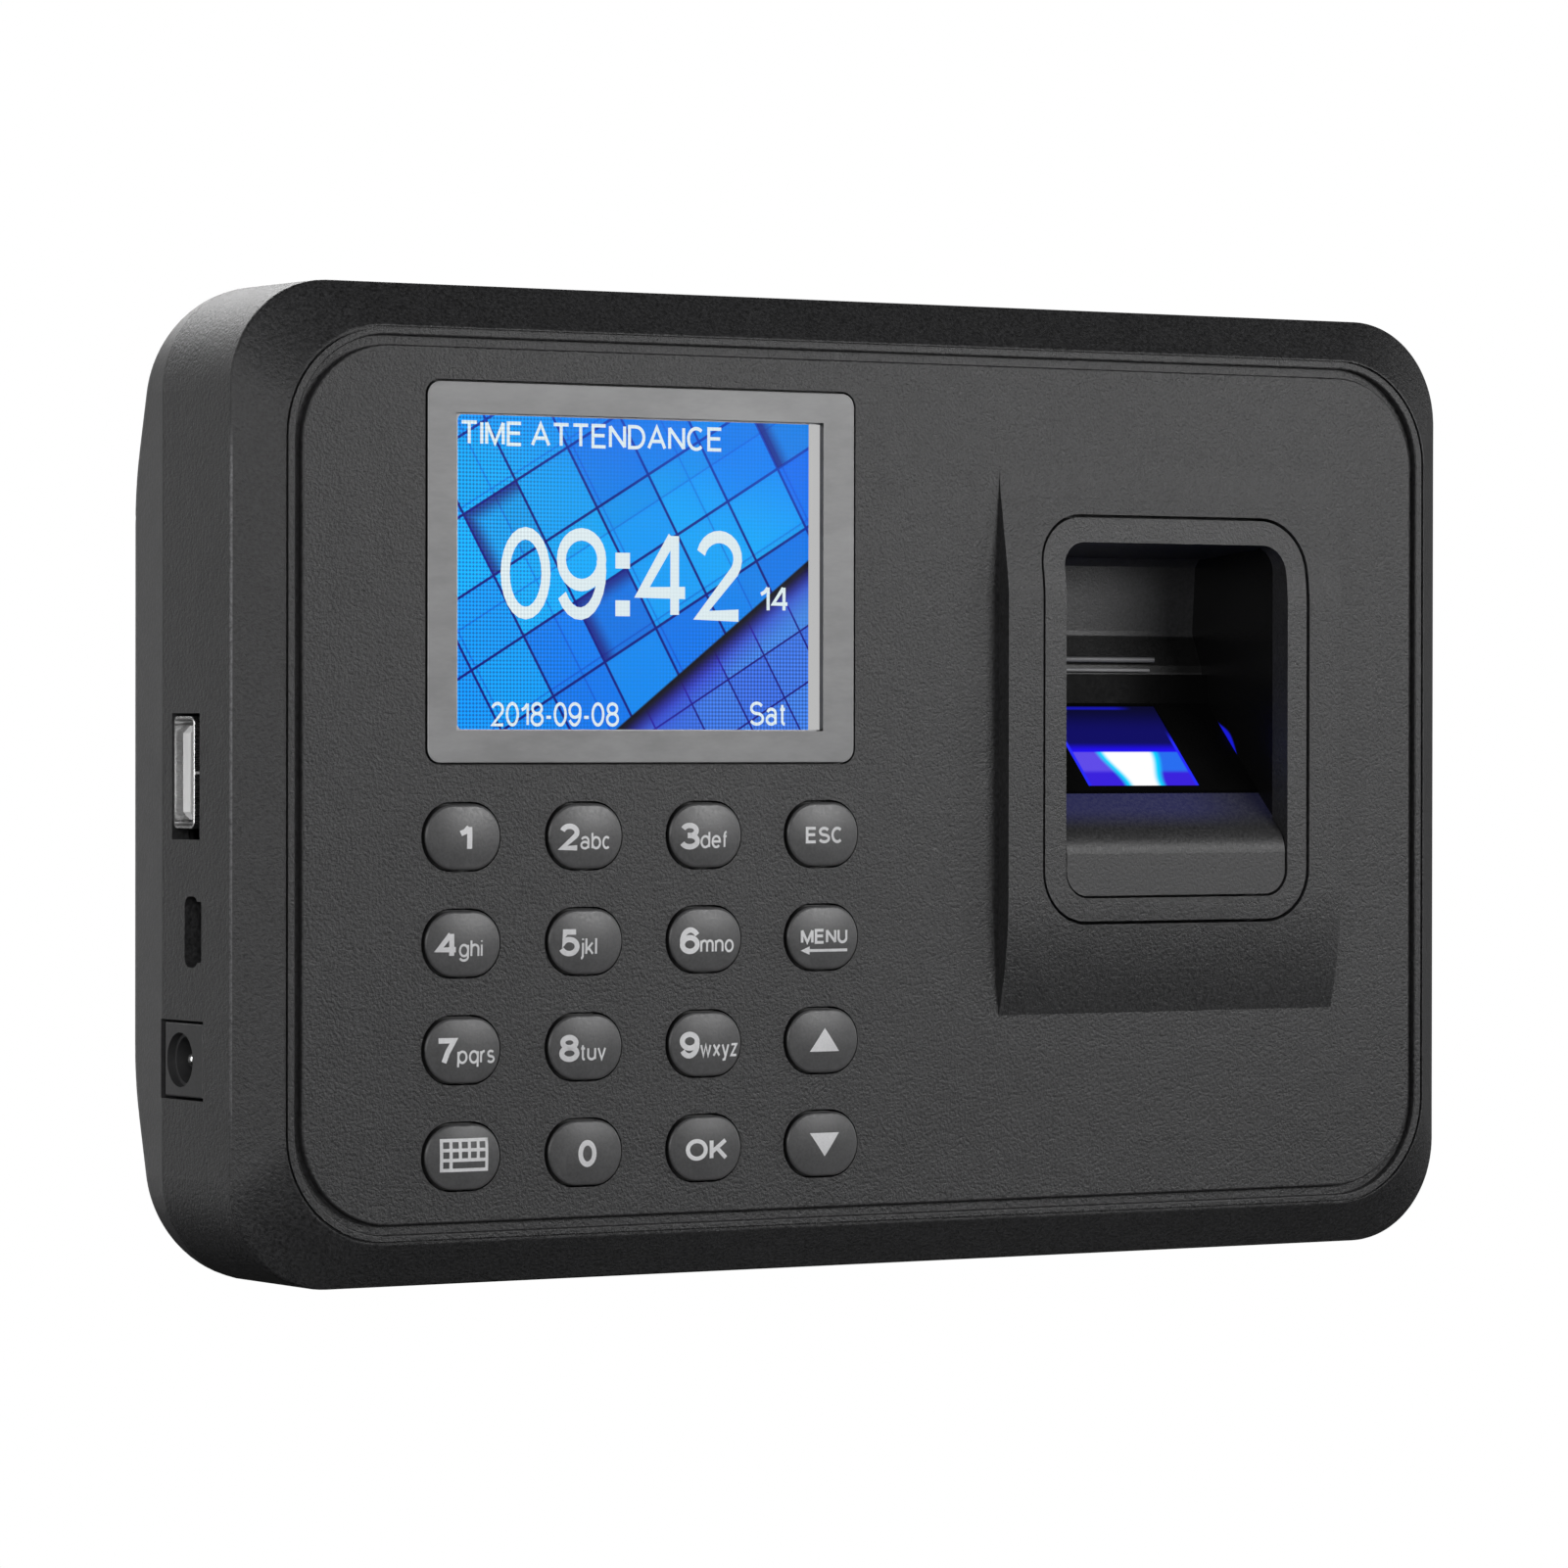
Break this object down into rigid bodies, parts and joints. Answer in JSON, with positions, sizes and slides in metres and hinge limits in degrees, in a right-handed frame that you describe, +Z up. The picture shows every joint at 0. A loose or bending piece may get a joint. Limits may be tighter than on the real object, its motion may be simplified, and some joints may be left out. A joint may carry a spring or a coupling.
{
  "type": "fingerprint time attendance terminal",
  "caption": "Wall-mounted fingerprint attendance terminal with colour screen, keypad, finger well and side ports.",
  "frame": {"origin": "centre of the wall bracket's back face, on the wall plane", "axes": "+X to the right as seen from the front, +Z up, +Y into the wall, the front faces -Y"},
  "size_m": [0.1752, 0.0331, 0.1176],
  "materials": {
    "case_plastic": "fine spark-eroded texture, satin",
    "rear_plastic": "fine texture, satin",
    "clear_window": "clear, polished, hard coated",
    "grey_print": "grey metallic ink",
    "tape": "black adhesive tape",
    "screen": "lit colour display",
    "screen_frame": "white moulding",
    "flat_cable": "polyimide film",
    "keypad_silicone": "matt silicone",
    "key_silicone": "satin coated silicone",
    "carbon": "carbon print",
    "board_laminate": "green solder mask",
    "chip_resin": "moulded resin",
    "can_aluminium": "satin",
    "connector_nylon": "natural nylon",
    "black_moulding": "moulded",
    "cell_steel": "brushed",
    "port_steel": "nickel plated, satin",
    "port_insulator": "white moulding",
    "contact_gold": "gold flashed",
    "jack_plastic": "moulded",
    "bezel_plastic": "fine texture, satin",
    "well_plastic": "fine texture",
    "gloss_black": "polished black",
    "prism_glass": "polished, lit blue from behind",
    "led_blue": "clear blue resin",
    "speaker_paper": "coated paper",
    "magnet_iron": "sintered",
    "wire_sleeve": "soft sleeve",
    "screw_steel": "black zinc",
    "bracket_steel": "zinc plated sheet"
  },
  "bodies": {
    "root": {"board_capacitors": "can_aluminium", "board_chips": "chip_resin", "board_connectors": "connector_nylon", "board_screws": "screw_steel", "bracket_lock_screw": "screw_steel", "case_screws": "screw_steel", "coin_cell": "cell_steel", "coin_cell_holder": "black_moulding", "dc_jack_body": "jack_plastic", "dc_jack_pin": "port_steel", "display_lens": "clear_window", "front_shell": "case_plastic", "key_contacts": "carbon", "keypad_mat": "keypad_silicone", "lcd_backlight": "screen_frame", "lcd_panel": "screen", "lcd_ribbon": "flat_cable", "lens_print": "grey_print", "lens_tape": "tape", "main_board": "board_laminate", "mini_usb_shell": "port_steel", "mini_usb_tongue": "black_moulding", "prism_frame": "gloss_black", "rear_shell": "rear_plastic", "sensor_bezel": "bezel_plastic", "sensor_board": "board_laminate", "sensor_cable": "flat_cable", "sensor_housing": "well_plastic", "sensor_leds": "led_blue", "sensor_lens": "black_moulding", "sensor_prism": "prism_glass", "sensor_screws": "screw_steel", "sensor_socket": "connector_nylon", "speaker_cable": "wire_sleeve", "speaker_cone": "speaker_paper", "speaker_frame": "black_moulding", "speaker_magnet": "magnet_iron", "usb_a_contacts": "contact_gold", "usb_a_shell": "port_steel", "usb_a_tongue": "port_insulator", "wall_bracket": "bracket_steel"},
    "key_1_body": {"key_1": "key_silicone"},
    "key_2_body": {"key_2": "key_silicone"},
    "key_3_body": {"key_3": "key_silicone"},
    "key_esc_body": {"key_esc": "key_silicone"},
    "key_4_body": {"key_4": "key_silicone"},
    "key_5_body": {"key_5": "key_silicone"},
    "key_6_body": {"key_6": "key_silicone"},
    "key_menu_body": {"key_menu": "key_silicone"},
    "key_7_body": {"key_7": "key_silicone"},
    "key_8_body": {"key_8": "key_silicone"},
    "key_9_body": {"key_9": "key_silicone"},
    "key_up_body": {"key_up": "key_silicone"},
    "key_input_body": {"key_input": "key_silicone"},
    "key_0_body": {"key_0": "key_silicone"},
    "key_ok_body": {"key_ok": "key_silicone"},
    "key_down_body": {"key_down": "key_silicone"}
  },
  "joints": [
    {"name": "key_1_press", "type": "slide", "parent": "root", "child": "key_1_body", "axis": [0, 1, 0], "range_m": [0, 0.001], "stiffness_N_per_m": 700},
    {"name": "key_2_press", "type": "slide", "parent": "root", "child": "key_2_body", "axis": [0, 1, 0], "range_m": [0, 0.001], "stiffness_N_per_m": 700},
    {"name": "key_3_press", "type": "slide", "parent": "root", "child": "key_3_body", "axis": [0, 1, 0], "range_m": [0, 0.001], "stiffness_N_per_m": 700},
    {"name": "key_esc_press", "type": "slide", "parent": "root", "child": "key_esc_body", "axis": [0, 1, 0], "range_m": [0, 0.001], "stiffness_N_per_m": 700},
    {"name": "key_4_press", "type": "slide", "parent": "root", "child": "key_4_body", "axis": [0, 1, 0], "range_m": [0, 0.001], "stiffness_N_per_m": 700},
    {"name": "key_5_press", "type": "slide", "parent": "root", "child": "key_5_body", "axis": [0, 1, 0], "range_m": [0, 0.001], "stiffness_N_per_m": 700},
    {"name": "key_6_press", "type": "slide", "parent": "root", "child": "key_6_body", "axis": [0, 1, 0], "range_m": [0, 0.001], "stiffness_N_per_m": 700},
    {"name": "key_menu_press", "type": "slide", "parent": "root", "child": "key_menu_body", "axis": [0, 1, 0], "range_m": [0, 0.001], "stiffness_N_per_m": 700},
    {"name": "key_7_press", "type": "slide", "parent": "root", "child": "key_7_body", "axis": [0, 1, 0], "range_m": [0, 0.001], "stiffness_N_per_m": 700},
    {"name": "key_8_press", "type": "slide", "parent": "root", "child": "key_8_body", "axis": [0, 1, 0], "range_m": [0, 0.001], "stiffness_N_per_m": 700},
    {"name": "key_9_press", "type": "slide", "parent": "root", "child": "key_9_body", "axis": [0, 1, 0], "range_m": [0, 0.001], "stiffness_N_per_m": 700},
    {"name": "key_up_press", "type": "slide", "parent": "root", "child": "key_up_body", "axis": [0, 1, 0], "range_m": [0, 0.001], "stiffness_N_per_m": 700},
    {"name": "key_input_press", "type": "slide", "parent": "root", "child": "key_input_body", "axis": [0, 1, 0], "range_m": [0, 0.001], "stiffness_N_per_m": 700},
    {"name": "key_0_press", "type": "slide", "parent": "root", "child": "key_0_body", "axis": [0, 1, 0], "range_m": [0, 0.001], "stiffness_N_per_m": 700},
    {"name": "key_ok_press", "type": "slide", "parent": "root", "child": "key_ok_body", "axis": [0, 1, 0], "range_m": [0, 0.001], "stiffness_N_per_m": 700},
    {"name": "key_down_press", "type": "slide", "parent": "root", "child": "key_down_body", "axis": [0, 1, 0], "range_m": [0, 0.001], "stiffness_N_per_m": 700}
  ]
}
